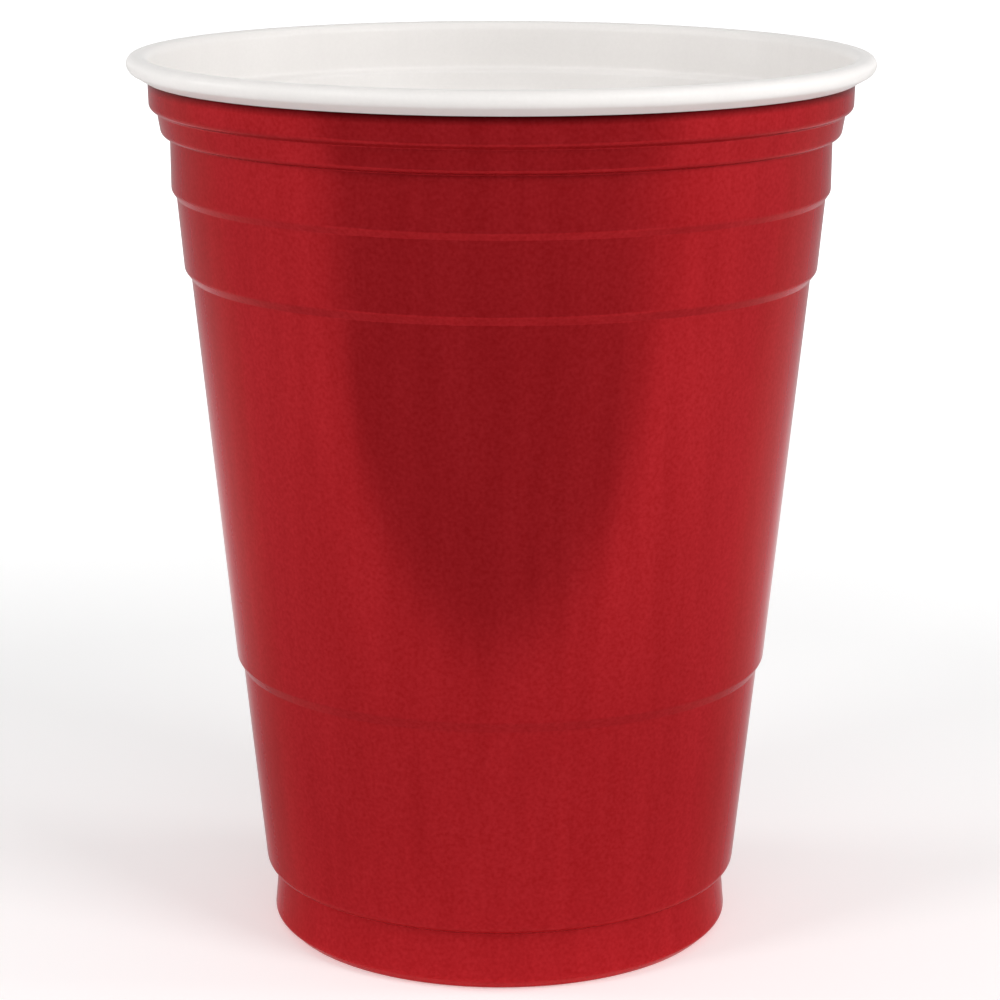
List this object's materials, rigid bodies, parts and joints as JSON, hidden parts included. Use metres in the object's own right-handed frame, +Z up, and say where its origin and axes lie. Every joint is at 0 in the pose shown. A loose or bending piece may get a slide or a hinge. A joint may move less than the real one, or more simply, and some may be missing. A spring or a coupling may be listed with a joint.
{
  "type": "plastic party cup",
  "caption": "Disposable plastic drinking cup: tapered thin wall with stepped ring lines, rolled rim, narrow foot and raised base.",
  "frame": {"origin": "centre of the ring that the cup stands on", "axes": "+Z up along the cup's axis, from the foot to the mouth; the cup is round, so X and Y are alike"},
  "size_m": [0.0952, 0.0952, 0.1156],
  "materials": {
    "red_plastic": "semi-gloss red outside, white inside and over the rim"
  },
  "bodies": {
    "root": {"cup": "red_plastic"}
  },
  "joints": []
}
